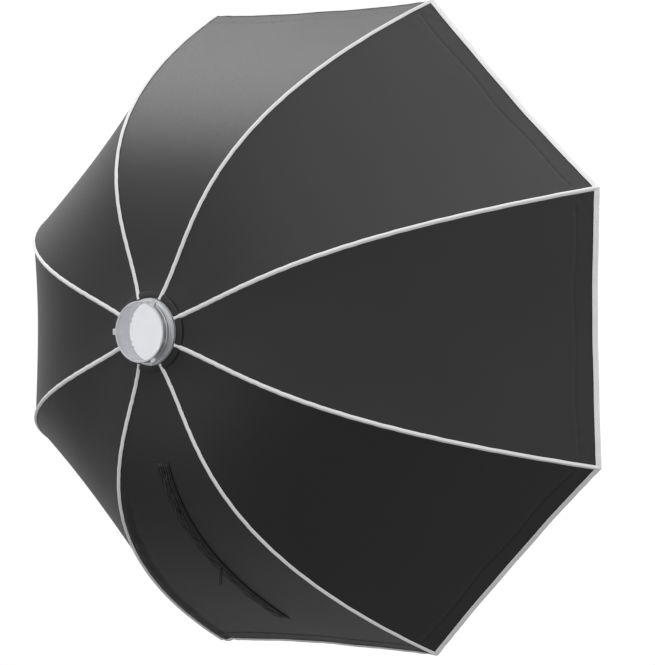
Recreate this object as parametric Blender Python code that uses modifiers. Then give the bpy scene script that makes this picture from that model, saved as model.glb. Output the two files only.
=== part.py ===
"""Eight-sided folding softbox (octabox) with a three-lug bayonet ring.

Metres, +Z up. The origin is the centre of the bayonet's rear face. The lamp couples on the +Y side,
and light leaves through the white diffuser, towards -Y. Depth is counted from the origin towards -Y.
"""

import math

import bmesh
import bpy
from mathutils import Matrix, Vector

# --- Driving dimensions ---------------------------------------------------------------------------
SIDES = 8
RIM_RADIUS = 0.600  # centre to a corner of the rim
SHELL_DEPTH = 0.481  # from the panels' inner edge to the rim, along Y
SHELL_SETBACK = 0.026  # panels' inner edge behind the bayonet's rear face
GAP = 0.0003  # between touching pieces

NECK_RADIUS = 0.050  # outside of the bayonet neck
NECK_WALL = 0.0030
NECK_LENGTH = 0.0265
NECK_CHAMFER = 0.0006
FLANGE_THICKNESS = 0.0030
FLANGE_INSET = 0.0010  # flange's edges inside the collar's
LUG_COUNT = 3
LUG_REACH = 0.0065  # how far a lug stands out of the neck
LUG_WIDTH = 0.010
LUG_THICKNESS = 0.0045
LUG_SETBACK = 0.0015  # lug's rear face behind the bayonet's rear face

COLLAR_LIP = 0.0045  # how far the collar stands out of the neck
COLLAR_WALL = 0.0040
PIVOT_REACH = 0.0110  # rib pivots outside the collar
EAR_MARGIN = 0.0055  # ear beyond the pivot
EAR_THICKNESS = 0.0022
EAR_HEIGHT = 0.012
EAR_DEPTH = 0.009  # ear's rear end behind the panels' inner edge
EAR_ROOT = 0.003  # ear's length inside the collar
EAR_HOLD = 0.003  # how far the collar runs forward beside the ears
PIN_RADIUS = 0.0015
PIN_OVERHANG = 0.0005  # pin's end beyond the ear
PIN_HEAD_LIP = 0.0011
PIN_HEAD_LENGTH = 0.0012
OVERLAP = 0.0002  # how far joined shapes run into each other
ROD_RADIUS = 0.0026
ROD_CLEARANCE = 0.0020  # between the foot and the panels, at the seam
ROD_TIP = 0.006  # rod's tip inside the rim's corner
FOOT_SIDE_WALL = 0.0009
FOOT_TOP_WALL = 0.0006
FOOT_LENGTH = 0.0395  # from the pivot to where the bare rod starts

PANEL_THICKNESS = 0.0010
PANEL_CLEARANCE = 0.0060  # panels' inner edge outside the collar
PANEL_SAG = 0.014  # how far the middle of a panel pulls in, as a share of its radius

START_SLOPE = math.radians(18.4)  # rib's slope at the hub, from the rim's plane
START_PULL = 0.1325  # strength of that slope
RIM_SLOPE = math.radians(66.3)  # rib's slope at the rim
RIM_PULL = 0.5957  # strength of that slope
RIB_ROOT_GAP = 0.0015  # start of the rib's curve, outside the collar

DIFFUSER_RECESS = 0.030  # diffuser behind the rim
DIFFUSER_THICKNESS = 0.0010
DIFFUSER_MARGIN = 0.022  # between the diffuser's corners and the panels' outer face

ZIP_PANEL_ANGLE = math.radians(-90)  # the zip runs down the middle of the lowest panel
ZIP_ARC_CENTRE = (0.0, -0.58501, 0.089)  # the slider runs along an arc about this point
ZIP_SLIDER_RADIUS = 0.400  # distance of the slider from the axis
SLIDER_LENGTH = 0.014
SLIDER_WIDTH = 0.009
SLIDER_HEIGHT = 0.0045
SLIDER_LIFT = 0.0012  # slider's underside above the cloth
SLIDER_BEVEL = 0.0008
PULL_LENGTH = 0.024
PULL_WIDTH = 0.006
PULL_THICKNESS = 0.0016
PULL_BEVEL = 0.0005

# The line that a half panel turns about while the ribs fold: two points in its rib's frame. With
# this line and the same turn for every half, the two halves of a panel keep meeting in the middle.
PANEL_FOLD_INNER = (0.0499, -0.2862, -0.2609)
PANEL_FOLD_OUTER = (0.5030, 0.1813, 0.2116)

# --- Sizes that follow ----------------------------------------------------------------------------
HALF_STEP = math.pi / SIDES
NECK_BORE = NECK_RADIUS - NECK_WALL
COLLAR_RADIUS = NECK_RADIUS + COLLAR_LIP
COLLAR_BORE = COLLAR_RADIUS - COLLAR_WALL
PIVOT_RADIUS = COLLAR_RADIUS + PIVOT_REACH
PIVOT_DEPTH = EAR_DEPTH + EAR_HEIGHT / 2  # rib pivots behind the panels' inner edge
COLLAR_LENGTH = EAR_DEPTH + EAR_HOLD
EAR_REACH = PIVOT_REACH + EAR_MARGIN
FOOT_WIDTH = 2 * (ROD_RADIUS + FOOT_SIDE_WALL)
FOOT_HEIGHT = 2 * (ROD_RADIUS + FOOT_TOP_WALL)
ROD_INSET = PANEL_THICKNESS + ROD_CLEARANCE + FOOT_HEIGHT / 2  # rod's centre below the panels' face
ROD_START = PIVOT_RADIUS + FOOT_LENGTH
RIB_ROOT = COLLAR_RADIUS + RIB_ROOT_GAP
PANEL_START = COLLAR_RADIUS + PANEL_CLEARANCE

# --- Mesh resolution ------------------------------------------------------------------------------
RING_STEPS = 64
PIN_STEPS = 16
PANEL_ROWS = 14
PANEL_COLUMNS = 3
ROD_POINTS = 18
SEARCH_STEPS = 40

SIDE_WORDS = ((1, "left"), (-1, "right"))
PART_NAME = "octabox"


# --- Shared helpers -------------------------------------------------------------------------------
def clear_scene():
    for item in list(bpy.data.objects):
        bpy.data.objects.remove(item, do_unlink=True)


def make_collection(name):
    collection = bpy.data.collections.new(name)
    bpy.context.scene.collection.children.link(collection)
    return collection


def make_material(name, colour, roughness, metallic=0.0):
    material = bpy.data.materials.new(name)
    material.use_nodes = True
    shader = material.node_tree.nodes["Principled BSDF"]
    shader.inputs["Base Color"].default_value = (*colour, 1.0)
    shader.inputs["Roughness"].default_value = roughness
    shader.inputs["Metallic"].default_value = metallic
    return material


def add_object(name, data, collection, matrix, parent=None, material=None):
    """An object placed by a matrix, in its parent's space if it has one."""
    item = bpy.data.objects.new(name, data)
    collection.objects.link(item)
    item.parent = parent
    item.matrix_basis = matrix
    if material:
        data.materials.append(material)
    return item


def add_empty(name, collection, matrix):
    """A guide with its origin on a joint's axis, which carries the pieces that the joint moves."""
    empty = bpy.data.objects.new(name, None)
    empty.empty_display_size = 0.02
    collection.objects.link(empty)
    empty.matrix_basis = matrix
    return empty


def mesh_from(name, build):
    bm = bmesh.new()
    build(bm)
    mesh = bpy.data.meshes.new(name)
    bm.to_mesh(mesh)
    bm.free()
    return mesh


def cut(item, cutter, operation="DIFFERENCE"):
    cutter.hide_render = True
    cutter.display_type = "WIRE"
    modifier = item.modifiers.new(cutter.name, "BOOLEAN")
    modifier.operation = operation
    modifier.object = cutter


def bevel(item, width):
    modifier = item.modifiers.new("edges", "BEVEL")
    modifier.width = width
    modifier.segments = 1


def sector_frame(angle):
    """Local x runs out from the axis, y around it, z forward, for a rib at this angle."""
    out = Vector((math.cos(angle), 0.0, math.sin(angle)))
    around = Vector((-math.sin(angle), 0.0, math.cos(angle)))
    forward = Vector((0.0, -1.0, 0.0))
    return Matrix((out, around, forward)).transposed().to_4x4()


def rib_angle(index):
    return HALF_STEP + index * 2 * HALF_STEP


def box_mesh(name, size, centre=(0, 0, 0)):
    def build(bm):
        bmesh.ops.create_cube(bm, size=1.0)
        bmesh.ops.scale(bm, vec=size, verts=bm.verts)
        bmesh.ops.translate(bm, vec=centre, verts=bm.verts)

    return mesh_from(name, build)


def pin_mesh(name, radius, length, start=None):
    """A cylinder along y, centred on the origin, or starting at a place along y."""
    middle = 0.0 if start is None else start + length / 2

    def build(bm):
        bmesh.ops.create_cone(
            bm, cap_ends=True, segments=PIN_STEPS, radius1=radius, radius2=radius, depth=length
        )
        upright = Matrix.Rotation(math.pi / 2, 3, "X")
        bmesh.ops.rotate(bm, cent=(0, 0, 0), matrix=upright, verts=bm.verts)
        bmesh.ops.translate(bm, vec=(0, middle, 0), verts=bm.verts)

    return mesh_from(name, build)


def turned_ring(name, profile, collection, material):
    """A closed profile of (radius, depth) points turned about the Y axis by a Screw modifier.

    The profile runs forward along its inner side and back along its outer side.
    """
    mesh = bpy.data.meshes.new(name)
    points = [(radius, 0.0, depth) for radius, depth in profile]
    edges = [(index, (index + 1) % len(points)) for index in range(len(points))]
    mesh.from_pydata(points, edges, [])
    ring = add_object(name, mesh, collection, sector_frame(0.0), material=material)
    screw = ring.modifiers.new("turn", "SCREW")
    screw.axis = "Z"
    screw.steps = RING_STEPS
    screw.render_steps = RING_STEPS
    screw.use_merge_vertices = True
    screw.merge_threshold = 0.00001
    return ring


# --- The rib's curve and the panel's surface ------------------------------------------------------
def rib_point(share):
    """(radius, depth) on the seam line, from the hub (0) to the rim (1), and its slope."""
    start = Vector((RIB_ROOT, 0.0))
    end = Vector((RIM_RADIUS, SHELL_DEPTH))
    first = start + START_PULL * Vector((math.cos(START_SLOPE), math.sin(START_SLOPE)))
    second = end - RIM_PULL * Vector((math.cos(RIM_SLOPE), math.sin(RIM_SLOPE)))
    rest = 1.0 - share
    point = (
        rest**3 * start
        + 3 * share * rest**2 * first
        + 3 * share**2 * rest * second
        + share**3 * end
    )
    tangent = (
        rest**2 * (first - start)
        + 2 * share * rest * (second - first)
        + share**2 * (end - second)
    )
    return point, tangent.normalized()


def share_where(is_before):
    """The share at which the rib's curve stops passing a test."""
    low, high = 0.0, 1.0
    for _ in range(SEARCH_STEPS):
        middle = (low + high) / 2
        if is_before(rib_point(middle)[0]):
            low = middle
        else:
            high = middle
    return (low + high) / 2


def share_at_radius(radius):
    return share_where(lambda point: point.x < radius)


def panel_point(share, across):
    """A point of a half panel in its rib's frame; across runs from the seam (0) to the middle (1)."""
    point, tangent = rib_point(share)
    inward = Vector((-tangent.y, tangent.x))
    half_width = point.x * math.cos(HALF_STEP) * math.sin(HALF_STEP)
    reach = point.x * (1 - across * math.sin(HALF_STEP) ** 2)
    turn = HALF_STEP * across
    pull = PANEL_SAG * point.x * across * (2 - across)
    radial = inward.x * pull
    return Vector(
        (
            reach + radial * math.cos(turn),
            half_width * across + radial * math.sin(turn),
            SHELL_SETBACK + point.y + inward.y * pull,
        )
    )


def clear_of_planes(point):
    """Keeps both faces of a half panel clear of the seam's plane and of the middle plane."""
    middle_normal = Vector((-math.sin(HALF_STEP), math.cos(HALF_STEP), 0.0))
    over = point.dot(middle_normal) + GAP / 2
    if over > 0:
        point = point - middle_normal * over
    seam_side = GAP / 2 + PANEL_THICKNESS * math.sin(HALF_STEP)
    return Vector((point.x, max(point.y, seam_side), point.z))


def pivot_point():
    """A rib's pivot in its rib's frame."""
    return Vector((PIVOT_RADIUS, 0.0, SHELL_SETBACK + PIVOT_DEPTH))


def rod_point(share):
    point, tangent = rib_point(share)
    inward = Vector((-tangent.y, tangent.x))
    centre = point + inward * ROD_INSET
    return Vector((centre.x, 0.0, SHELL_SETBACK + centre.y))


def diffuser_corner():
    """A corner of the diffuser in its rib's frame."""
    depth = SHELL_DEPTH - DIFFUSER_RECESS
    share = share_where(lambda point: point.y < depth)
    radius = rib_point(share)[0].x - DIFFUSER_MARGIN
    return Vector((radius, 0.0, SHELL_SETBACK + depth))


# --- Hub ------------------------------------------------------------------------------------------
def make_bayonet_ring(parts, cutters, metal):
    flange = COLLAR_RADIUS - FLANGE_INSET
    flange_rear = NECK_LENGTH - FLANGE_THICKNESS
    profile = [
        (NECK_BORE + NECK_CHAMFER, 0.0),
        (NECK_BORE, NECK_CHAMFER),
        (NECK_BORE, NECK_LENGTH),
        (flange, NECK_LENGTH),
        (flange, flange_rear),
        (NECK_RADIUS, flange_rear),
        (NECK_RADIUS, NECK_CHAMFER),
        (NECK_RADIUS - NECK_CHAMFER, 0.0),
    ]
    ring = turned_ring("bayonet_ring", profile, parts, metal)
    length = LUG_REACH + NECK_WALL / 2
    middle = NECK_RADIUS + LUG_REACH - length / 2
    for index in range(LUG_COUNT):
        mesh = box_mesh(f"lug_{index}", (length, LUG_WIDTH, LUG_THICKNESS))
        place = Matrix.Translation((middle, 0.0, LUG_SETBACK + LUG_THICKNESS / 2))
        turn = sector_frame(index * 2 * math.pi / LUG_COUNT)
        cut(ring, add_object(f"lug_{index}", mesh, cutters, turn @ place), "UNION")


def make_collar(parts, cutters, metal):
    """The ring that carries the ribs, with two ears and a pin hole for each."""
    front = SHELL_SETBACK + COLLAR_LENGTH
    rear = NECK_LENGTH + GAP
    profile = [
        (COLLAR_BORE, rear),
        (COLLAR_BORE, front),
        (COLLAR_RADIUS, front),
        (COLLAR_RADIUS, rear),
    ]
    collar = turned_ring("rib_collar", profile, parts, metal)
    length = EAR_ROOT + EAR_REACH
    radius = COLLAR_RADIUS + EAR_REACH - length / 2
    offset = FOOT_WIDTH / 2 + GAP + EAR_THICKNESS / 2
    for index in range(SIDES):
        frame = sector_frame(rib_angle(index))
        for side, word in SIDE_WORDS:
            name = f"ear_{index}_{word}"
            mesh = box_mesh(name, (length, EAR_THICKNESS, EAR_HEIGHT))
            place = Matrix.Translation((radius, side * offset, SHELL_SETBACK + PIVOT_DEPTH))
            cut(collar, add_object(name, mesh, cutters, frame @ place), "UNION")
        name = f"ear_hole_{index}"
        mesh = pin_mesh(name, PIN_RADIUS + GAP, 2 * (FOOT_WIDTH + EAR_THICKNESS))
        place = Matrix.Translation(pivot_point())
        cut(collar, add_object(name, mesh, cutters, frame @ place))


def make_pin(index, parts, cutters, metal):
    matrix = sector_frame(rib_angle(index)) @ Matrix.Translation(pivot_point())
    reach = FOOT_WIDTH / 2 + GAP + EAR_THICKNESS + PIN_OVERHANG
    name = f"pivot_pin_{index}"
    pin = add_object(name, pin_mesh(name, PIN_RADIUS, 2 * reach), parts, matrix, material=metal)
    name = f"pin_head_{index}"
    mesh = pin_mesh(name, PIN_RADIUS + PIN_HEAD_LIP, PIN_HEAD_LENGTH, reach - OVERLAP)
    cut(pin, add_object(name, mesh, cutters, matrix), "UNION")


# --- Ribs -----------------------------------------------------------------------------------------
def make_foot(index, parts, cutters, metal, joint):
    """The pivoting foot that holds the rod's inner end; its x runs from the pivot to the rod."""
    to_rod = rod_point(share_at_radius(ROD_START)) - pivot_point()
    forward = to_rod.normalized()
    sideways = Vector((0, 1, 0))
    tilt = Matrix((forward, sideways, forward.cross(sideways))).transposed().to_4x4()
    heel = FOOT_HEIGHT / 2
    length = to_rod.length - GAP + heel
    name = f"rib_foot_{index}"
    mesh = box_mesh(name, (length, FOOT_WIDTH, FOOT_HEIGHT), (length / 2 - heel, 0, 0))
    foot = add_object(name, mesh, parts, tilt, joint, metal)
    name = f"foot_hole_{index}"
    mesh = pin_mesh(name, PIN_RADIUS + GAP, 2 * FOOT_WIDTH)
    cut(foot, add_object(name, mesh, cutters, Matrix.Identity(4), joint))


def make_rod(index, parts, metal, joint):
    """The springy rod along one seam, as a polyline tube."""
    first = share_at_radius(ROD_START)
    last = share_at_radius(RIM_RADIUS - ROD_TIP)
    curve = bpy.data.curves.new(f"rib_{index}", "CURVE")
    curve.dimensions = "3D"
    curve.bevel_depth = ROD_RADIUS
    curve.bevel_resolution = 2
    curve.use_fill_caps = True
    spline = curve.splines.new("POLY")
    spline.points.add(ROD_POINTS - 1)
    for step in range(ROD_POINTS):
        share = first + (last - first) * step / (ROD_POINTS - 1)
        spline.points[step].co = (*(rod_point(share) - pivot_point()), 1.0)
    add_object(f"rib_{index}", curve, parts, Matrix.Identity(4), joint, metal)


# --- Cloth ----------------------------------------------------------------------------------------
def half_panel_mesh(name, side, origin):
    """One half of a fabric panel, from a seam to the panel's middle line; side is 1 or -1."""
    first_share = share_at_radius(PANEL_START)

    def build(bm):
        bmesh.ops.create_grid(bm, x_segments=PANEL_COLUMNS, y_segments=PANEL_ROWS, size=0.5)
        for vert in bm.verts:
            share = first_share + (1 - first_share) * (vert.co.y + 0.5)
            point = clear_of_planes(panel_point(share, vert.co.x + 0.5))
            vert.co = Vector((point.x, side * point.y, point.z)) - origin
        if side < 0:
            bmesh.ops.reverse_faces(bm, faces=bm.faces)

    return mesh_from(name, build)


def make_half_panel(index, side, word, parts, cloth):
    inner, outer = Vector(PANEL_FOLD_INNER), Vector(PANEL_FOLD_OUTER)
    origin = (inner + outer) / 2 * Vector((1, side, 1))
    name = f"panel_{index}_{word}"
    matrix = sector_frame(rib_angle(index)) @ Matrix.Translation(origin)
    panel = add_object(name, half_panel_mesh(name, side, origin), parts, matrix, material=cloth)
    thickness = panel.modifiers.new("thickness", "SOLIDIFY")
    thickness.thickness = PANEL_THICKNESS
    thickness.offset = -1.0


def make_diffuser_leaf(index, parts, cloth):
    """One eighth of the white front cloth, centred on a rib so that it folds with it."""
    corner = diffuser_corner()
    middle_edge = corner.x * math.cos(HALF_STEP) - GAP
    edge_out = middle_edge * math.cos(HALF_STEP)
    edge_side = middle_edge * math.sin(HALF_STEP) - GAP
    outline = [(GAP / math.sin(HALF_STEP), 0.0), (edge_out, -edge_side)]
    outline += [(corner.x - GAP, 0.0), (edge_out, edge_side)]
    name = f"diffuser_{index}"
    curve = bpy.data.curves.new(name, "CURVE")
    curve.dimensions = "2D"
    curve.fill_mode = "BOTH"
    curve.extrude = DIFFUSER_THICKNESS / 2
    spline = curve.splines.new("POLY")
    spline.points.add(len(outline) - 1)
    spline.use_cyclic_u = True
    for point, (out, around) in zip(spline.points, outline):
        point.co = (out - corner.x, around, 0.0, 1.0)
    middle = corner + Vector((0, 0, DIFFUSER_THICKNESS / 2))
    matrix = sector_frame(rib_angle(index)) @ Matrix.Translation(middle)
    add_object(name, curve, parts, matrix, material=cloth)


# --- Zip ------------------------------------------------------------------------------------------
def middle_point(share):
    """A point on the middle line of the panel that carries the zip."""
    return sector_frame(ZIP_PANEL_ANGLE - HALF_STEP) @ panel_point(share, 1.0)


def zip_frame():
    """A frame on the zip line: x down the slope, y across it, z out of the cloth."""
    share = share_at_radius(ZIP_SLIDER_RADIUS / math.cos(HALF_STEP))
    here = middle_point(share)
    along = (middle_point(share + 0.01) - here).normalized()
    across = Vector((math.sin(ZIP_PANEL_ANGLE), 0, -math.cos(ZIP_PANEL_ANGLE)))
    out = along.cross(across)
    frame = Matrix((along, across, out)).transposed().to_4x4()
    frame.translation = here
    return frame


def make_zip(parts, guides, metal):
    """The slider on the access zip, and the tab that hangs straight down from it."""
    frame = zip_frame()
    arc = Matrix.Translation(ZIP_ARC_CENTRE)
    joint = add_empty("zip_slide_axis", guides, arc)
    mesh = box_mesh("zip_slider", (SLIDER_LENGTH, SLIDER_WIDTH, SLIDER_HEIGHT))
    place = frame @ Matrix.Translation((0, 0, SLIDER_LIFT + SLIDER_HEIGHT / 2))
    slider = add_object("zip_slider", mesh, parts, arc.inverted() @ place, joint, metal)
    bevel(slider, SLIDER_BEVEL)
    hang_point = frame @ Vector((0, 0, SLIDER_LIFT + SLIDER_HEIGHT + PULL_THICKNESS))
    centre = (0, 0, PULL_THICKNESS / 2 - PULL_LENGTH / 2)
    mesh = box_mesh("zip_pull", (PULL_WIDTH, PULL_THICKNESS, PULL_LENGTH), centre)
    tab = add_object("zip_pull", mesh, parts, Matrix.Translation(hang_point), material=metal)
    bevel(tab, PULL_BEVEL)


def main():
    clear_scene()
    parts = make_collection(PART_NAME)
    cutters = make_collection(PART_NAME + "_cutters")
    guides = make_collection(PART_NAME + "_guides")
    cast_metal = make_material("cast_metal", (0.62, 0.63, 0.64), 0.38, 0.9)
    steel = make_material("steel", (0.45, 0.45, 0.46), 0.35, 1.0)
    rod_coat = make_material("rod_coat", (0.03, 0.03, 0.03), 0.40)
    black_cloth = make_material("black_cloth", (0.022, 0.021, 0.022), 0.7)
    white_cloth = make_material("white_cloth", (0.86, 0.86, 0.86), 0.8)
    dark_metal = make_material("dark_metal", (0.02, 0.02, 0.02), 0.35, 0.6)
    make_bayonet_ring(parts, cutters, cast_metal)
    make_collar(parts, cutters, cast_metal)
    for index in range(SIDES):
        matrix = sector_frame(rib_angle(index)) @ Matrix.Translation(pivot_point())
        joint = add_empty(f"rib_fold_axis_{index}", guides, matrix)
        make_pin(index, parts, cutters, steel)
        make_foot(index, parts, cutters, steel, joint)
        make_rod(index, parts, rod_coat, joint)
        make_diffuser_leaf(index, parts, white_cloth)
        for side, word in SIDE_WORDS:
            make_half_panel(index, side, word, parts, black_cloth)
    make_zip(parts, guides, dark_metal)


main()
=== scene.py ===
"""Looks of the octabox: cloth panels, seam tapes, rim binding, zip, diffuser, bayonet ring and light."""
import math

import bmesh
import bpy
from mathutils import Matrix, Vector


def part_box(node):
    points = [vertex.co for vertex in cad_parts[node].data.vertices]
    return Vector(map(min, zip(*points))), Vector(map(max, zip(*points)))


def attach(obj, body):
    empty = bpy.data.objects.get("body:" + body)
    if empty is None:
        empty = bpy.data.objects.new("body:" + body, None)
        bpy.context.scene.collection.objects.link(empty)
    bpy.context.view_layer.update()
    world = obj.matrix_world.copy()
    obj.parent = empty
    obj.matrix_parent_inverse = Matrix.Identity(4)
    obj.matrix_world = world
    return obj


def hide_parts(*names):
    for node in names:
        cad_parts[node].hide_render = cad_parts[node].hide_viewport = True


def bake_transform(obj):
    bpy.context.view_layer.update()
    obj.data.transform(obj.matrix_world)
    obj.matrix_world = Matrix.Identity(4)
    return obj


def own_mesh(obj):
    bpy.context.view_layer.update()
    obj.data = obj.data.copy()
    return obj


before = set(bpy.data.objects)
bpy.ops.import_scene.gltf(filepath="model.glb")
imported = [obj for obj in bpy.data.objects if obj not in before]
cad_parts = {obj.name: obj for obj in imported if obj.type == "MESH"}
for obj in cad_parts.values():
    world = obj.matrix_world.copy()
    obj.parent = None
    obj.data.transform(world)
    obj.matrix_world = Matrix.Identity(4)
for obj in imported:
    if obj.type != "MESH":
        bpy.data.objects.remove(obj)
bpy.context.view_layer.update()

# --- The shell's shape, in metres; depth is counted from the bayonet's rear face towards -Y -------
SIDES = 8
HALF = math.pi / SIDES
RIM_RADIUS = 0.600
SHELL_DEPTH = 0.481
SETBACK = 0.026
RIB_ROOT = 0.056
START_SLOPE = math.radians(18.4)
START_PULL = 0.1325
RIM_SLOPE = math.radians(66.3)
RIM_PULL = 0.5957
PANEL_SAG = 0.014
PANEL_START = 0.0605
COLLAR_RADIUS = 0.0545
COLLAR_BORE = 0.0505
COLLAR_REAR = 0.0268
COLLAR_FRONT = 0.038
EAR_ROOT = 0.002  # how far an ear reaches into the collar
EAR_END = 0.071
EAR_OFFSET = 0.0049
EAR_THICKNESS = 0.0022
EAR_HEIGHT = 0.012
PIVOT_DEPTH = 0.041
NECK_RADIUS = 0.050
NECK_BORE = 0.047
NECK_LENGTH = 0.0265
FLANGE_THICKNESS = 0.003
FLANGE_INSET = 0.001  # flange's edge inside the collar's
GROOVE_STARTS = (0.0080, 0.0150, 0.0190)
GROOVE_DEPTH = 0.0007
GROOVE_SLOPE = 0.0005  # length of a groove's sloping side
GROOVE_FLOOR = 0.0012
LUG_COUNT = 3
LUG_ROOT = 0.0012  # how far a lug reaches into the neck
LUG_END = 0.0565
LUG_WIDTH = 0.010
LUG_REAR = 0.0015
LUG_THICKNESS = 0.0045
DIFFUSER_RECESS = 0.030
DIFFUSER_GAP = 0.0025  # between a leaf's corner and the seam
DIFFUSER_SAG = 0.0165  # how far a leaf's outer edge pulls in, as a share of its distance
DIFFUSER_STEP = 0.004  # how far the leaf stands behind its sewn edge
CLOTH_THICKNESS = 0.0005
SEAM_HALF_WIDTH = 0.0037
TAPE_WRAP = 0.0022  # radius of the turn that a tape's end makes over the rim
TAPE_EDGE = 0.0006  # rise of a tape's edges
TAPE_CROWN = 0.0021  # further rise of its middle
TAPE_THICKNESS = 0.0009
RIM_BINDING_WIDTH = 0.0060
RIM_SPEED = 3 * RIM_PULL  # metres along the seam for each unit of share, at the rim
HEM_DISTANCE = 0.043  # the hem's stitch line inside the rim
ROLL_RIB = 6  # the seam beside the zip's panel where the cloth is rolled and loosely sewn
ROLL_PLACE = 0.0125
ROLL_WIDTH = 0.0060
ROLL_HEIGHT = 0.0030
PUCKER_RISE = 0.00032  # beside the seams
SLACK_RISE = 0.0005  # loose cloth near the rim
PULL_RISE = 0.0004  # the last centimetres before the rim
BROAD_RISE = 0.0006  # long, shallow waves over a whole panel
GATHER_RISE = 0.00030  # short waves on both sides of the hem's stitches
HEM_GROOVE = 0.0012  # depth of the stitched groove
CREASE_RISE = 0.0011  # creases that run out of a panel's corners
ZIP_RIB = 5  # the rib before the zip's panel
ZIP_NEAR = 0.215  # the zip's ends, as distances from the axis
ZIP_FAR = 0.500
FLAP_THICKNESS = 0.0006
SLIDER_RADIUS = 0.400

SIDE_WORDS = ((1, "left"), (-1, "right"))


# --- Geometry helpers -----------------------------------------------------------------------------
def smooth(value):
    value = min(max(value, 0.0), 1.0)
    return value * value * (3 - 2 * value)


def rib_point(share):
    """(radius, depth) on the seam line, from the hub (0) to the rim (1), and its slope."""
    start = Vector((RIB_ROOT, 0.0))
    end = Vector((RIM_RADIUS, SHELL_DEPTH))
    first = start + START_PULL * Vector((math.cos(START_SLOPE), math.sin(START_SLOPE)))
    second = end - RIM_PULL * Vector((math.cos(RIM_SLOPE), math.sin(RIM_SLOPE)))
    rest = 1.0 - share
    point = (
        rest**3 * start
        + 3 * share * rest**2 * first
        + 3 * share**2 * rest * second
        + share**3 * end
    )
    tangent = (
        rest**2 * (first - start)
        + 2 * share * rest * (second - first)
        + share**2 * (end - second)
    )
    return point, tangent.normalized()


def share_where(test):
    low, high = 0.0, 1.0
    for _ in range(40):
        middle = (low + high) / 2
        if test(rib_point(middle)[0]):
            low = middle
        else:
            high = middle
    return (low + high) / 2


def share_at_radius(radius):
    return share_where(lambda point: point.x < radius)


def rib_angle(index):
    return HALF + index * 2 * HALF


def sector(angle):
    """Local x runs out from the axis, y around it and z forward, for a rib at this angle."""
    out = Vector((math.cos(angle), 0.0, math.sin(angle)))
    around = Vector((-math.sin(angle), 0.0, math.cos(angle)))
    return Matrix((out, around, Vector((0.0, -1.0, 0.0)))).transposed().to_4x4()


def wave(angle_count, share, phase):
    return math.sin(angle_count * share * 2 * math.pi + phase)


def ripple(share, side, across, rib):
    """Puckers beside the seams, slack, creases and a stitched hem near the rim, as a rise in metres.

    Beside one seam there is a loose roll of cloth too. Both halves of a panel read one coordinate over
    its whole width, so that they meet smoothly.
    """
    panel = (rib if side > 0 else rib - 1) % SIDES
    width = across if side > 0 else 2 - across
    from_rim = RIM_SPEED * (1 - share)
    seam = math.exp(-across * 11)
    pucker = wave(31, share, rib * 1.7) + 0.6 * wave(47, share, rib * 2.9 + 1.3)
    slack = 1 + wave(0.8, width + share * 1.4, panel * 2.1)
    pull = math.exp(-from_rim / 0.030) * (1 + wave(2.1, width, panel * 0.9))
    broad = 1 + wave(1.0, share * 1.6 + width * 0.35, panel * 1.9)
    drift = 0.0022 * wave(1.3, width, panel * 2.7)
    off_hem = (from_rim - HEM_DISTANCE - drift) / 0.0026
    stitched = math.exp(-off_hem * off_hem)
    gather = math.exp(-((off_hem / 4.5) ** 2)) * wave(9.0 + panel % 3, width, panel * 1.1)
    corner = math.exp(-across * 9 - from_rim / 0.040)
    creases = corner * wave(3.1, across * 2.2 + from_rim * 14, panel * 1.7)
    bulge = across * (2 - across)
    taper = smooth(share / 0.15)
    near_rim = smooth((share - 0.80) / 0.20)
    roll = 0.0
    if rib == ROLL_RIB and side < 0:
        half_width = rib_point(share)[0].x * math.sin(HALF)
        ragged = 0.0016 * wave(9, share, 0.7) + 0.0010 * wave(21, share, 1.1)
        off_roll = (across * half_width - ROLL_PLACE - ragged) / ROLL_WIDTH
        loose = smooth((share - 0.52) / 0.10) * (1 + 0.25 * wave(27, share, 0.3))
        hollow = 0.5 * math.exp(-((off_roll - 1.5) ** 2))
        roll = loose * ROLL_HEIGHT * (math.exp(-(off_roll**4)) - hollow)
    return taper * (
        roll
        + PUCKER_RISE * seam * pucker
        + bulge * (SLACK_RISE * near_rim * slack + PULL_RISE * pull + BROAD_RISE * broad)
        + smooth(across * 8) * (GATHER_RISE * gather - HEM_GROOVE * stitched)
        + smooth(across * 14) * CREASE_RISE * creases
    )


def panel_point(share, across, rise=0.0):
    """A point of a half panel in its rib's frame, rise metres out of the cloth's nominal face."""
    point, tangent = rib_point(share)
    inward = Vector((-tangent.y, tangent.x))
    half_width = point.x * math.cos(HALF) * math.sin(HALF)
    reach = point.x * (1 - across * math.sin(HALF) ** 2)
    turn = HALF * across
    pull = PANEL_SAG * point.x * across * (2 - across) - rise
    radial = inward.x * pull
    return Vector(
        (
            reach + radial * math.cos(turn),
            half_width * across + radial * math.sin(turn),
            SETBACK + point.y + inward.y * pull,
        )
    )


def new_object(name, mesh):
    item = bpy.data.objects.new(name, mesh)
    bpy.context.scene.collection.objects.link(item)
    return item


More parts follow.
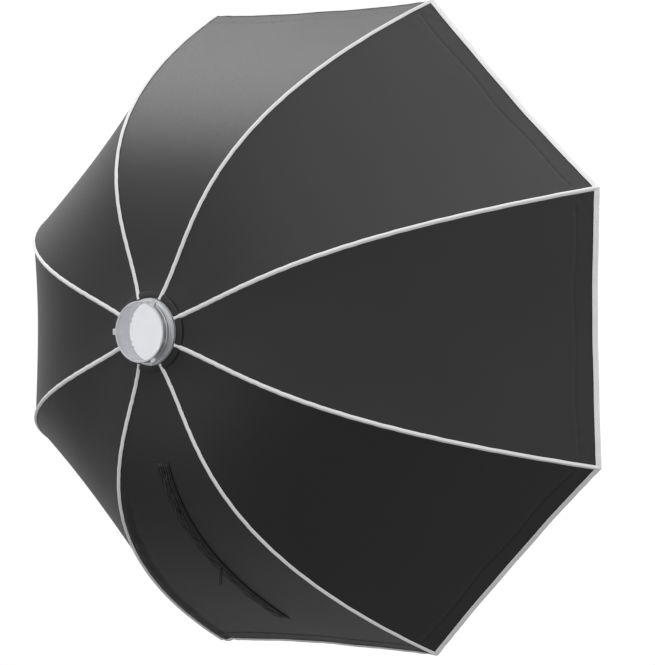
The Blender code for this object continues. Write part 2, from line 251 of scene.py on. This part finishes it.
def grid_object(name, rows, uv_rows, materials, side=1, matrix=None, dark_columns=()):
    """A smooth grid of points with a UV map in metres; side -1 mirrors it across the rib's plane.

    Faces in the dark columns take the second material.
    """
    bm = bmesh.new()
    uv_layer = bm.loops.layers.uv.new("cloth")
    verts = [[bm.verts.new((p[0], side * p[1], p[2])) for p in row] for row in rows]
    for r in range(len(rows) - 1):
        for c in range(len(rows[0]) - 1):
            corners = [(r, c), (r, c + 1), (r + 1, c + 1), (r + 1, c)]
            face = bm.faces.new([verts[a][b] for a, b in corners])
            face.smooth = True
            face.material_index = int(c in dark_columns)
            for loop, (a, b) in zip(face.loops, corners):
                loop[uv_layer].uv = uv_rows[a][b]
    if side < 0:
        bmesh.ops.reverse_faces(bm, faces=bm.faces)
    mesh = bpy.data.meshes.new(name)
    bm.to_mesh(mesh)
    bm.free()
    for material in materials:
        mesh.materials.append(material)
    if matrix is not None:
        mesh.transform(matrix)
    return new_object(name, mesh)


def arc_lengths(points):
    total = [0.0]
    for a, b in zip(points, points[1:]):
        total.append(total[-1] + (Vector(b) - Vector(a)).length)
    return total


def metre_uv(rows):
    """UV coordinates in metres: across each row, and down the first column."""
    down = arc_lengths([row[0] for row in rows])
    return [[(u, down[r]) for u in arc_lengths(row)] for r, row in enumerate(rows)]


def thicken(item, thickness, offset=-1.0, inner_slot=None):
    modifier = item.modifiers.new("thickness", "SOLIDIFY")
    modifier.thickness = thickness
    modifier.offset = offset
    modifier.use_even_offset = False
    if inner_slot is not None:
        modifier.material_offset = inner_slot
    return modifier


def apply_modifiers(item):
    graph = bpy.context.evaluated_depsgraph_get()
    mesh = bpy.data.meshes.new_from_object(item.evaluated_get(graph))
    item.modifiers.clear()
    item.data = mesh
    mesh.set_sharp_from_angle(angle=math.radians(50))
    return item


def mesh_area(item):
    return sum(polygon.area for polygon in item.data.polygons)


# --- Materials ------------------------------------------------------------------------------------
class Nodes:
    """A small helper that adds and links shader nodes."""

    def __init__(self, name):
        self.material = bpy.data.materials.new(name)
        self.material.use_nodes = True
        self.tree = self.material.node_tree
        self.shader = self.tree.nodes["Principled BSDF"]

    def add(self, kind, **values):
        node = self.tree.nodes.new(kind)
        for key, value in values.items():
            setattr(node, key, value)
        return node

    def link(self, source, target):
        self.tree.links.new(source, target)

    def coordinates(self, kind="Object"):
        return self.add("ShaderNodeTexCoord").outputs[kind]

    def noise(self, vector, scale, detail=4.0, roughness=0.6):
        node = self.add("ShaderNodeTexNoise")
        node.inputs["Scale"].default_value = scale
        node.inputs["Detail"].default_value = detail
        node.inputs["Roughness"].default_value = roughness
        self.link(vector, node.inputs["Vector"])
        return node.outputs["Fac"]

    def wave(self, vector, scale, direction):
        node = self.add("ShaderNodeTexWave", bands_direction=direction)
        node.inputs["Scale"].default_value = scale
        self.link(vector, node.inputs["Vector"])
        return node.outputs["Fac"]

    def math(self, operation, a, b):
        node = self.add("ShaderNodeMath", operation=operation)
        for socket, value in zip(node.inputs, (a, b)):
            if isinstance(value, (int, float)):
                socket.default_value = value
            else:
                self.link(value, socket)
        return node.outputs[0]

    def ramp(self, factor, stops):
        node = self.add("ShaderNodeValToRGB")
        elements = node.color_ramp.elements
        while len(elements) < len(stops):
            elements.new(0.5)
        for element, (place, colour) in zip(elements, stops):
            element.position = place
            element.color = (*colour, 1.0)
        self.link(factor, node.inputs["Fac"])
        return node.outputs["Color"]

    def spread(self, factor, low, high, low_in=0.3, high_in=0.7):
        node = self.add("ShaderNodeMapRange")
        for key, value in (
            ("From Min", low_in), ("From Max", high_in), ("To Min", low), ("To Max", high)
        ):
            node.inputs[key].default_value = value
        self.link(factor, node.inputs["Value"])
        return node.outputs["Result"]

    def bump(self, height, strength, distance):
        node = self.add("ShaderNodeBump")
        node.inputs["Strength"].default_value = strength
        node.inputs["Distance"].default_value = distance
        self.link(height, node.inputs["Height"])
        self.link(node.outputs["Normal"], self.shader.inputs["Normal"])

    def weave(self, pitch):
        """Warp and weft threads of this pitch in metres, on the UV map."""
        uv = self.coordinates("UV")
        scale = 1.0 / pitch / 20.0 * 2 * math.pi
        warp = self.wave(uv, scale, "X")
        weft = self.wave(uv, scale, "Y")
        return self.math("ADD", warp, weft)

    def set(self, **values):
        for key, value in values.items():
            self.shader.inputs[key.replace("_", " ")].default_value = value


def shades(colour, low, high):
    return [
        (0.25, tuple(channel * low for channel in colour)),
        (0.75, tuple(channel * high for channel in colour)),
    ]


def cloth_material(name, colour, roughness, pitch, bump, variation):
    nodes = Nodes(name)
    cloud = nodes.noise(nodes.coordinates(), 9.0, 5.0)
    nodes.link(
        nodes.ramp(cloud, shades(colour, 1 - variation, 1 + variation)),
        nodes.shader.inputs["Base Color"],
    )
    fine = nodes.noise(nodes.coordinates(), 420.0, 3.0)
    nodes.link(
        nodes.spread(fine, roughness - 0.06, roughness + 0.06), nodes.shader.inputs["Roughness"]
    )
    threads = nodes.math("ADD", nodes.weave(pitch), nodes.math("MULTIPLY", fine, 0.7))
    nodes.bump(threads, bump, pitch * 0.35)
    return nodes.material


def translucent(material, share=0.55):
    """Lets part of the light that falls on a thin cloth through to its other side."""
    tree = material.node_tree
    shader = tree.nodes["Principled BSDF"]
    output = tree.nodes["Material Output"]
    glow = tree.nodes.new("ShaderNodeBsdfTranslucent")
    glow.inputs["Color"].default_value = (0.92, 0.92, 0.93, 1.0)
    mix = tree.nodes.new("ShaderNodeMixShader")
    mix.inputs["Fac"].default_value = share
    tree.links.new(shader.outputs["BSDF"], mix.inputs[1])
    tree.links.new(glow.outputs["BSDF"], mix.inputs[2])
    tree.links.new(mix.outputs["Shader"], output.inputs["Surface"])
    return material


def stitch_material():
    """Matt black thread in a sewn groove, with a stitch every 3 mm."""
    nodes = Nodes("stitch_line")
    thread = nodes.wave(nodes.coordinates("UV"), 1.0 / 0.003 / 20.0 * 2 * math.pi, "Y")
    nodes.link(
        nodes.ramp(thread, [(0.2, (0.002, 0.002, 0.002)), (0.8, (0.007, 0.007, 0.007))]),
        nodes.shader.inputs["Base Color"],
    )
    nodes.bump(thread, 0.5, 0.0004)
    nodes.set(Roughness=0.85, Specular_IOR_Level=0.12)
    return nodes.material


def silver_material():
    """The reflective coating inside the panels."""
    nodes = Nodes("silver_lining")
    cloud = nodes.noise(nodes.coordinates(), 14.0, 6.0)
    colour = (0.72, 0.73, 0.75)
    nodes.link(nodes.ramp(cloud, shades(colour, 0.9, 1.05)), nodes.shader.inputs["Base Color"])
    fine = nodes.noise(nodes.coordinates(), 240.0, 4.0)
    nodes.link(nodes.spread(fine, 0.30, 0.46), nodes.shader.inputs["Roughness"])
    nodes.bump(fine, 0.25, 0.0006)
    nodes.set(Metallic=0.85)
    return nodes.material


def metal_material(name, colour, roughness, metallic=1.0, grain=0.15):
    nodes = Nodes(name)
    cloud = nodes.noise(nodes.coordinates(), 60.0, 5.0)
    nodes.link(nodes.ramp(cloud, shades(colour, 0.93, 1.05)), nodes.shader.inputs["Base Color"])
    fine = nodes.noise(nodes.coordinates(), 900.0, 4.0)
    nodes.link(
        nodes.spread(fine, roughness - 0.05, roughness + 0.08), nodes.shader.inputs["Roughness"]
    )
    nodes.bump(fine, grain, 0.0003)
    nodes.set(Metallic=metallic)
    return nodes.material


def make_materials():
    return {
        "black": cloth_material("black_cloth", (0.0125, 0.0122, 0.0130), 0.44, 0.0005, 0.16, 0.10),
        "silver": silver_material(),
        "white": translucent(
            cloth_material("white_cloth", (0.86, 0.86, 0.87), 0.85, 0.0006, 0.2, 0.02)
        ),
        "tape": cloth_material("seam_tape", (0.88, 0.88, 0.89), 0.80, 0.0009, 0.35, 0.06),
        "stitch": stitch_material(),
        "ring": metal_material("cast_ring", (0.70, 0.71, 0.73), 0.40, 0.80, 0.25),
        "steel": metal_material("steel", (0.50, 0.50, 0.51), 0.32),
        "rod": metal_material("rod_coat", (0.03, 0.03, 0.03), 0.40, 0.0),
        "dark": metal_material("dark_metal", (0.03, 0.03, 0.032), 0.28, 0.7),
    }


# --- Soft pieces ----------------------------------------------------------------------------------
BODY_ROWS = 84  # rows of a half panel from the hub to the hem, and within the hem
HEM_ROWS = 44
PANEL_COLUMNS = 34


def blend_half(piece):
    """Bakes the piece's placement into its mesh."""
    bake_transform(piece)


def declare_cloth(item_rows, area):
    width = max(arc_lengths(row)[-1] for row in item_rows)
    length = max(
        arc_lengths([row[c] for row in item_rows])[-1] for c in (0, len(item_rows[0]) - 1)
    )
    area = min(area, width * length)


def make_half_panel(index, side, word, looks):
    first = share_at_radius(PANEL_START)
    hem = 1 - 1.8 * HEM_DISTANCE / RIM_SPEED
    shares = [first + (hem - first) * r / BODY_ROWS for r in range(BODY_ROWS)]
    shares += [hem + (1 - hem) * r / HEM_ROWS for r in range(HEM_ROWS + 1)]
    rows = []
    for share in shares:
        row = []
        for c in range(PANEL_COLUMNS + 1):
            even = c / PANEL_COLUMNS
            across = 0.4 * even + 0.6 * even * even
            row.append(panel_point(share, across, ripple(share, side, across, index)))
        rows.append(row)
    piece = grid_object(
        f"cloth_{index}_{word}",
        rows,
        metre_uv(rows),
        [looks["black"], looks["silver"]],
        side,
        sector(rib_angle(index)),
    )
    area = mesh_area(piece)
    thicken(piece, CLOTH_THICKNESS, -1.0, 1)
    apply_modifiers(piece)
    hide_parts(f"panel_{index}_{word}")
    declare_cloth(rows, area)
    blend_half(piece)


def make_seam_tape(index, looks):
    """The grey tape that is sewn over a seam; it stands proud, and its end wraps over the rim."""
    steps, wrap_steps, columns = 170, 9, 10
    rows = []
    for r in range(steps + wrap_steps + 1):
        share = min(r / steps, 1.0)
        wrapped = max(0.0, (r - steps) / wrap_steps)
        point, tangent = rib_point(share)
        inward = Vector((-tangent.y, tangent.x))
        ahead = TAPE_WRAP * math.sin(wrapped * math.pi)
        under = TAPE_WRAP * (1 - math.cos(wrapped * math.pi))
        point = point + tangent * ahead + inward * under
        wobble = 0.00016 * wave(17, share, index) + 0.00012 * wave(29, share, index * 2.0)
        row = []
        for c in range(columns + 1):
            place = 2 * c / columns - 1
            t = place * SEAM_HALF_WIDTH + wobble
            crown = TAPE_EDGE + TAPE_CROWN * (1 - abs(place) ** 2.2)
            drop = abs(t) * math.tan(HALF) * tangent.y
            out = (crown - drop) * math.cos(wrapped * math.pi)
            row.append(
                Vector((point.x - inward.x * out, t, SETBACK + point.y - inward.y * out))
            )
        rows.append(row)
    piece = grid_object(
        f"seam_tape_{index}", rows, metre_uv(rows), [looks["tape"]], 1, sector(rib_angle(index))
    )
    thicken(piece, TAPE_THICKNESS)
    apply_modifiers(piece)
    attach(piece, f"rib_{index}")


def make_rim_binding(index, side, word, looks):
    """The grey binding folded over the rim's edge, half a side long."""
    width = RIM_BINDING_WIDTH
    length = arc_lengths([panel_point(s, 1.0) for s in (0.97, 1.0)])[-1] / 0.03
    back = width / length
    profile = [
        (back, 0.0004), (back * 0.6, 0.0013), (0.3 * back, 0.0015), (-0.001, 0.0012),
        (-0.0028, 0.0), (-0.0028, -0.0010), (-0.001, -0.0022), (back * 0.5, -0.0024),
        (back * 1.2, -0.0018),
    ]
    rows = []
    steps = 44
    for r in range(steps + 1):
        across = r / steps
        row = []
        for setback, rise in profile:
            share = 1.0 - setback
            surface = ripple(min(share, 1.0), side, across, index)
            swell = 1 + 0.10 * wave(7, across, index * 1.3 + side)
            row.append(panel_point(share, across, surface + rise * swell))
        rows.append(row)
    piece = grid_object(
        f"rim_binding_{index}_{word}",
        rows,
        metre_uv(rows),
        [looks["tape"]],
        side,
        sector(rib_angle(index)),
    )
    thicken(piece, CLOTH_THICKNESS)
    apply_modifiers(piece)
    blend_half(piece)


def make_hub_binding(looks):
    """The black band that closes the panels' inner edge against the collar."""
    profile = [
        (COLLAR_RADIUS + 0.0003, SETBACK + 0.0010),
        (COLLAR_RADIUS + 0.0008, SETBACK - 0.0006),
        (COLLAR_RADIUS + 0.0024, SETBACK - 0.0010),
        (COLLAR_RADIUS + 0.0060, SETBACK - 0.0004),
        (COLLAR_RADIUS + 0.0100, SETBACK + 0.0011),
        (COLLAR_RADIUS + 0.0120, SETBACK + 0.0024),
    ]
    bm = bmesh.new()
    revolve(bm, profile, False)
    piece = mesh_object("hub_binding", bm, looks["black"])
    thicken(piece, 0.0008)
    apply_modifiers(piece)
    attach(piece, "hub")


def diffuser_corner():
    depth = SHELL_DEPTH - DIFFUSER_RECESS
    point = rib_point(share_where(lambda p: p.y < depth))[0]
    return point.x, depth


def make_diffuser_leaf(index, looks):
    """An eighth of the one white front cloth, centred on its rib."""
    radius, depth = diffuser_corner()
    corner = radius - DIFFUSER_GAP
    matrix = sector(rib_angle(index))
    turned = matrix.to_3x3()
    rows = []
    steps = 40
    for r in range(steps + 1):
        distance = corner * (0.002 + 0.998 * r / steps)
        row = []
        for c in range(-10, 11):
            across = abs(c) / 10
            pulled = distance * (1 - DIFFUSER_SAG * across * (2 - across))
            reach = pulled * (1 - across * math.sin(HALF) ** 2)
            width = pulled * math.cos(HALF) * math.sin(HALF) * across * (1 if c >= 0 else -1)
            place = turned @ Vector((reach, width, 0))
            sway = (
                0.0016 * math.sin(place.x * 9.0 + 0.7) * math.sin(place.z * 7.0 + 0.3)
                + 0.0010 * math.sin(place.x * 23.0 - place.z * 11.0)
            )
            edge = smooth((corner - distance) / 0.08)
            forward = SETBACK + depth - DIFFUSER_STEP * edge + sway * edge
            row.append(Vector((reach, width, forward)))
        rows.append(row)
    piece = grid_object(f"front_cloth_{index}", rows, metre_uv(rows), [looks["white"]], 1, matrix)
    thicken(piece, CLOTH_THICKNESS, 0.0)
    apply_modifiers(piece)
    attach(piece, f"diffuser_{index}")
    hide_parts(f"diffuser_{index}")
    width = max(arc_lengths(row)[-1] for row in rows)
    across = turned @ Vector((0, 1, 0))
    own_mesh(piece)


# --- The zip --------------------------------------------------------------------------------------
def make_zip(looks):
    """Two puckered flaps that meet over the zip, with dark stitch lines and squared ends."""
    profile = (  # distance from the middle line, rise, and how much of the pucker shows there
        (0.0000, 0.0000, 0.0), (0.0006, 0.0012, 0.2), (0.0014, 0.0026, 0.8), (0.0026, 0.0028, 1.0),
        (0.0034, 0.0014, 0.9), (0.0042, -0.0004, 0.9), (0.0050, 0.0014, 0.9), (0.0060, 0.0024, 1.0),
        (0.0080, 0.0021, 0.8), (0.0088, 0.0010, 0.5), (0.0096, -0.0004, 0.4), (0.0104, 0.0012, 0.4),
        (0.0112, 0.0016, 0.2), (0.0118, 0.0010, 0.0), (0.0122, -0.0004, 0.0),
    )
    dark = (0, 5, 13)
    near = share_at_radius(ZIP_NEAR / math.cos(HALF))
    far = share_at_radius(ZIP_FAR / math.cos(HALF))
    steps = 150
    for side, word, index in ((1, "left", ZIP_RIB), (-1, "right", ZIP_RIB + 1)):
        rows = []
        for r in range(steps + 1):
            share = near + (far - near) * r / steps
            half_width = rib_point(share)[0].x * math.sin(HALF)
            end = min(smooth(r / 3), smooth((steps - r) / 3))
            pucker = 0.0009 * wave(13, share, 0.5 + side) + 0.0007 * wave(31, share, 1.2 * side)
            wander = 0.0008 * wave(9, share, 2.0 * side) + 0.0005 * wave(23, share, 0.4)
            row = []
            for distance, rise, shown in profile:
                place = distance + wander * shown
                across = 1.0 - place / half_width
                surface = ripple(share, side, across, index)
                lift = (rise + pucker * shown) * end + 0.0001
                row.append(panel_point(share, across, surface + lift))
            rows.append(row)
        piece = grid_object(
            f"zip_tape_{word}", rows, metre_uv(rows), [looks["black"], looks["stitch"]], side,
            sector(rib_angle(index)), dark,
        )
        thicken(piece, FLAP_THICKNESS)
        apply_modifiers(piece)
        blend_half(piece)


# --- Metal pieces ---------------------------------------------------------------------------------
def rounded(outline, radius, steps=3):
    """The closed outline with each corner turned into a short curve."""
    points = []
    count = len(outline)
    for index in range(count):
        before, here, after = (Vector(outline[(index + k) % count]) for k in (-1, 0, 1))
        size = min(radius, (before - here).length / 2.2, (after - here).length / 2.2)
        start = here + (before - here).normalized() * size
        end = here + (after - here).normalized() * size
        for step in range(steps + 1):
            k = step / steps
            points.append((1 - k) ** 2 * start + 2 * k * (1 - k) * here + k * k * end)
    return points


def revolve(bm, profile, closed, steps=192):
    """Adds a profile of (radius, depth) points turned about the Y axis."""
    rings = []
    for step in range(steps):
        angle = 2 * math.pi * step / steps
        out = Vector((math.cos(angle), 0.0, math.sin(angle)))
        rings.append([bm.verts.new(out * p[0] + Vector((0.0, -p[1], 0.0))) for p in profile])
    span = len(profile) if closed else len(profile) - 1
    for step in range(steps):
        here, there = rings[step], rings[(step + 1) % steps]
        for c in range(span):
            d = (c + 1) % len(profile)
            bm.faces.new((here[c], there[c], there[d], here[d])).smooth = True


def add_slab(bm, matrix, outline, thickness, edge):
    """Adds a plate with chamfered edges: a closed outline in the matrix's x and y, thick along z."""
    middle = sum((Vector(p) for p in outline), Vector((0.0, 0.0))) / len(outline)
    layers = []
    for height, inset in ((0, edge), (edge, 0), (thickness - edge, 0), (thickness, edge)):
        layer = []
        for p in outline:
            offset = Vector(p) - middle
            place = middle + offset * max(0.0, 1 - inset / max(offset.length, 1e-6))
            layer.append(bm.verts.new(matrix @ Vector((place.x, place.y, height))))
        layers.append(layer)
    faces = [bm.faces.new(layers[0]), bm.faces.new(layers[-1])]
    for lower, upper in zip(layers, layers[1:]):
        for c in range(len(outline)):
            d = (c + 1) % len(outline)
            faces.append(bm.faces.new((lower[c], lower[d], upper[d], upper[c])))
    for face in faces:
        face.smooth = True


def mesh_object(name, bm, material):
    bmesh.ops.recalc_face_normals(bm, faces=bm.faces)
    mesh = bpy.data.meshes.new(name)
    bm.to_mesh(mesh)
    bm.free()
    mesh.materials.append(material)
    mesh.set_sharp_from_angle(angle=math.radians(32))
    return new_object(name, mesh)


def make_ring(looks):
    """The bayonet ring: a smooth neck with turned grooves, a flange, and three rounded lugs."""
    flange = COLLAR_RADIUS - FLANGE_INSET
    groove = NECK_RADIUS - GROOVE_DEPTH
    outline = [(NECK_BORE, NECK_LENGTH), (NECK_BORE, 0.0), (NECK_RADIUS, 0.0)]
    for start in GROOVE_STARTS:
        floor_start = start + GROOVE_SLOPE
        floor_end = floor_start + GROOVE_FLOOR
        outline += [(NECK_RADIUS, start), (groove, floor_start)]
        outline += [(groove, floor_end), (NECK_RADIUS, floor_end + GROOVE_SLOPE)]
    flange_rear = NECK_LENGTH - FLANGE_THICKNESS
    outline += [(NECK_RADIUS, flange_rear), (flange, flange_rear), (flange, NECK_LENGTH)]
    bm = bmesh.new()
    revolve(bm, rounded(outline, 0.0007), True)
    inner = NECK_RADIUS - LUG_ROOT
    lug = [(inner, -LUG_WIDTH / 2), (LUG_END, -LUG_WIDTH / 2)]
    lug += [(LUG_END, LUG_WIDTH / 2), (inner, LUG_WIDTH / 2)]
    for index in range(LUG_COUNT):
        matrix = sector(index * 2 * math.pi / LUG_COUNT) @ Matrix.Translation((0, 0, LUG_REAR))
        add_slab(bm, matrix, rounded(lug, 0.0014), LUG_THICKNESS, 0.0004)
    piece = mesh_object("bayonet_casting", bm, looks["ring"])
    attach(piece, "hub")
    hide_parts("bayonet_ring")


def make_collar(looks):
    """The rib collar: a short turned ring with a pair of rounded ears for each rib."""
    outline = [(COLLAR_BORE, COLLAR_FRONT), (COLLAR_BORE, COLLAR_REAR)]
    outline += [(COLLAR_RADIUS, COLLAR_REAR), (COLLAR_RADIUS, COLLAR_FRONT)]
    bm = bmesh.new()
    revolve(bm, rounded(outline, 0.0006), True)
    low, high = PIVOT_DEPTH - EAR_HEIGHT / 2, PIVOT_DEPTH + EAR_HEIGHT / 2
    inner = COLLAR_RADIUS - EAR_ROOT
    ear = rounded([(inner, low), (EAR_END, low), (EAR_END, high), (inner, high)], 0.0050)
    for index in range(SIDES):
        for side in (1, -1):
            offset = side * EAR_OFFSET + EAR_THICKNESS / 2
            upright = Matrix.Translation((0, offset, 0)) @ Matrix.Rotation(math.pi / 2, 4, "X")
            add_slab(bm, sector(rib_angle(index)) @ upright, ear, EAR_THICKNESS, 0.0003)
    piece = mesh_object("collar_casting", bm, looks["ring"])
    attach(piece, "hub")
    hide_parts("rib_collar")


def make_slider(looks):
    """The zip's slider: a shield-shaped body and a bridge, with the pull tab hanging from it."""
    low, high = (Vector(corner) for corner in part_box("zip_slider"))
    share = share_at_radius(SLIDER_RADIUS / math.cos(HALF))
    matrix = sector(rib_angle(ZIP_RIB))
    here = matrix @ panel_point(share, 1.0)
    along = (matrix @ panel_point(share + 0.01, 1.0) - here).normalized()
    out = along.cross(Vector((-1.0, 0.0, 0.0)))
    place = Matrix((along, Vector((-1.0, 0.0, 0.0)), out)).transposed().to_4x4()
    place.translation = (low + high) / 2 - out * 0.0020
    body = [(-0.0068, -0.0030), (0.0, -0.0043), (0.0068, -0.0034)]
    body += [(0.0068, 0.0034), (0.0, 0.0043), (-0.0068, 0.0030)]
    bm = bmesh.new()
    add_slab(bm, place, rounded(body, 0.0020), 0.0024, 0.0005)
    bridge = [(-0.0046, 0.0018), (-0.0036, 0.0042), (0.0036, 0.0042), (0.0046, 0.0018)]
    upright = Matrix.Translation((0, 0.0013, 0)) @ Matrix.Rotation(math.pi / 2, 4, "X")
    add_slab(bm, place @ upright, rounded(bridge, 0.0012), 0.0026, 0.0004)
    slider = mesh_object("zip_slider_body", bm, looks["dark"])
    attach(slider, "zip_slider")
    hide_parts("zip_slider")
    low, high = (Vector(corner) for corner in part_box("zip_pull"))
    middle = (low + high) / 2
    half, length = (high.x - low.x) / 2, high.z - low.z
    tab = [(-half * 0.62, 0.0), (half * 0.62, 0.0), (half, -length * 0.72), (half * 0.8, -length)]
    tab += [(-half * 0.8, -length), (-half, -length * 0.72)]
    upright = Matrix.Translation((middle.x, high.y, high.z)) @ Matrix.Rotation(math.pi / 2, 4, "X")
    bm = bmesh.new()
    add_slab(bm, upright, rounded(tab, 0.0016), high.y - low.y, 0.0004)
    pull = mesh_object("zip_pull_tab", bm, looks["dark"])
    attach(pull, "zip_pull")
    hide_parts("zip_pull")


def finish_cad(looks):
    """CAD pieces whose shape is right get their materials."""
    slots = {"pivot_pin": "steel", "rib_foot": "steel"}
    for name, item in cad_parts.items():
        for start, look in slots.items():
            if name.startswith(start):
                item.data.materials.clear()
                item.data.materials.append(looks[look])
        if name.startswith("rib_") and name[4:].isdigit():
            item.data.materials.clear()
            item.data.materials.append(looks["rod"])


# --- Studio ---------------------------------------------------------------------------------------
CAMERA_AZIMUTH = math.radians(215.98)
CAMERA_ELEVATION = math.radians(0.76)
CAMERA_ROLL = math.radians(-0.40)
CAMERA_DISTANCE = 5.5
CAMERA_LENS = 180.0
AIM_DEPTH = 0.276
AIM_RIGHT = 0.1415
AIM_UP = -0.006

WORLD_LOW = 0.36  # the fill light's strength from below
WORLD_HIGH = 1.50  # and from above
WORLD_LOW_END = -0.6  # heights on the unit sphere between which it changes
WORLD_HIGH_END = 0.8
KEY_PLACE = (1.9, -1.0, 3.0)
KEY_AIM = (0, -0.2, 0.1)
KEY_SIZE = (2.2, 2.2)
KEY_POWER = 28
FRONT_PLACE = (0.2, -2.7, 0.3)
FRONT_AIM = (0, -0.4, 0.0)
FRONT_SIZE = (2.0, 2.0)
FRONT_POWER = 64
FLOOR_HEIGHT = -1.0
FLOOR_HALF_SIDE = 2.2


def make_camera():
    back = Vector(
        (
            math.sin(CAMERA_AZIMUTH) * math.cos(CAMERA_ELEVATION),
            -math.cos(CAMERA_AZIMUTH) * math.cos(CAMERA_ELEVATION),
            math.sin(CAMERA_ELEVATION),
        )
    )
    right = Vector((math.cos(CAMERA_AZIMUTH), math.sin(CAMERA_AZIMUTH), 0.0))
    up = back.cross(right)
    aim = Vector((0.0, -AIM_DEPTH, 0.0)) + right * AIM_RIGHT + up * AIM_UP
    rolled_right = right * math.cos(CAMERA_ROLL) + up * math.sin(CAMERA_ROLL)
    rolled_up = up * math.cos(CAMERA_ROLL) - right * math.sin(CAMERA_ROLL)
    camera = bpy.data.cameras.new("camera")
    camera.sensor_fit = "HORIZONTAL"
    camera.sensor_width = 36.0
    camera.lens = CAMERA_LENS
    camera.clip_end = 100.0
    item = new_object("camera", camera)
    matrix = Matrix((rolled_right, rolled_up, back)).transposed().to_4x4()
    matrix.translation = aim + back * CAMERA_DISTANCE
    item.matrix_world = matrix
    bpy.context.scene.camera = item


def area_light(name, place, aim, size, power):
    light = bpy.data.lights.new(name, "AREA")
    light.shape = "RECTANGLE"
    light.size, light.size_y = size
    light.energy = power
    item = new_object(name, light)
    direction = Vector(aim) - Vector(place)
    item.location = place
    item.visible_camera = False
    item.rotation_euler = direction.to_track_quat("-Z", "Y").to_euler()
    return item


def make_world():
    """White where the camera sees it; softer light from above than from below."""
    world = bpy.data.worlds.new("studio")
    world.use_nodes = True
    tree = world.node_tree
    seen = tree.nodes["Background"]
    seen.inputs["Color"].default_value = (1, 1, 1, 1)
    seen.inputs["Strength"].default_value = 1.05
    direction = tree.nodes.new("ShaderNodeTexCoord")
    parts = tree.nodes.new("ShaderNodeSeparateXYZ")
    tree.links.new(direction.outputs["Generated"], parts.inputs["Vector"])
    level = tree.nodes.new("ShaderNodeMapRange")
    for key, value in (
        ("From Min", WORLD_LOW_END), ("From Max", WORLD_HIGH_END),
        ("To Min", WORLD_LOW), ("To Max", WORLD_HIGH),
    ):
        level.inputs[key].default_value = value
    tree.links.new(parts.outputs["Z"], level.inputs["Value"])
    fill = tree.nodes.new("ShaderNodeBackground")
    tree.links.new(level.outputs["Result"], fill.inputs["Strength"])
    ray = tree.nodes.new("ShaderNodeLightPath")
    mix = tree.nodes.new("ShaderNodeMixShader")
    tree.links.new(ray.outputs["Is Camera Ray"], mix.inputs["Fac"])
    tree.links.new(fill.outputs["Background"], mix.inputs[1])
    tree.links.new(seen.outputs["Background"], mix.inputs[2])
    tree.links.new(mix.outputs["Shader"], tree.nodes["World Output"].inputs["Surface"])
    bpy.context.scene.world = world
    bpy.context.scene.view_settings.view_transform = "Standard"


def make_studio():
    make_world()
    area_light("key", KEY_PLACE, KEY_AIM, KEY_SIZE, KEY_POWER)
    area_light("front_fill", FRONT_PLACE, FRONT_AIM, FRONT_SIZE, FRONT_POWER)
    nodes = Nodes("studio_floor")
    grain = nodes.noise(nodes.coordinates(), 3.0)
    nodes.link(
        nodes.ramp(grain, [(0.3, (0.90, 0.90, 0.90)), (0.7, (0.93, 0.93, 0.93))]),
        nodes.shader.inputs["Base Color"],
    )
    nodes.set(Roughness=0.9)
    mesh = bpy.data.meshes.new("floor")
    bm = bmesh.new()
    bmesh.ops.create_grid(bm, x_segments=1, y_segments=1, size=FLOOR_HALF_SIDE)
    bmesh.ops.translate(bm, vec=(0, 0, FLOOR_HEIGHT), verts=bm.verts)
    bm.to_mesh(mesh)
    bm.free()
    mesh.materials.append(nodes.material)
    floor = new_object("floor", mesh)
    floor.visible_diffuse = False
    floor.visible_glossy = False


def main():
    make_camera()
    make_studio()
    looks = make_materials()
    for index in range(SIDES):
        for side, word in SIDE_WORDS:
            make_half_panel(index, side, word, looks)
            make_rim_binding(index, side, word, looks)
        make_seam_tape(index, looks)
    for index in range(SIDES):
        make_diffuser_leaf(index, looks)
    make_hub_binding(looks)
    make_zip(looks)
    make_ring(looks)
    make_collar(looks)
    make_slider(looks)
    finish_cad(looks)


main()
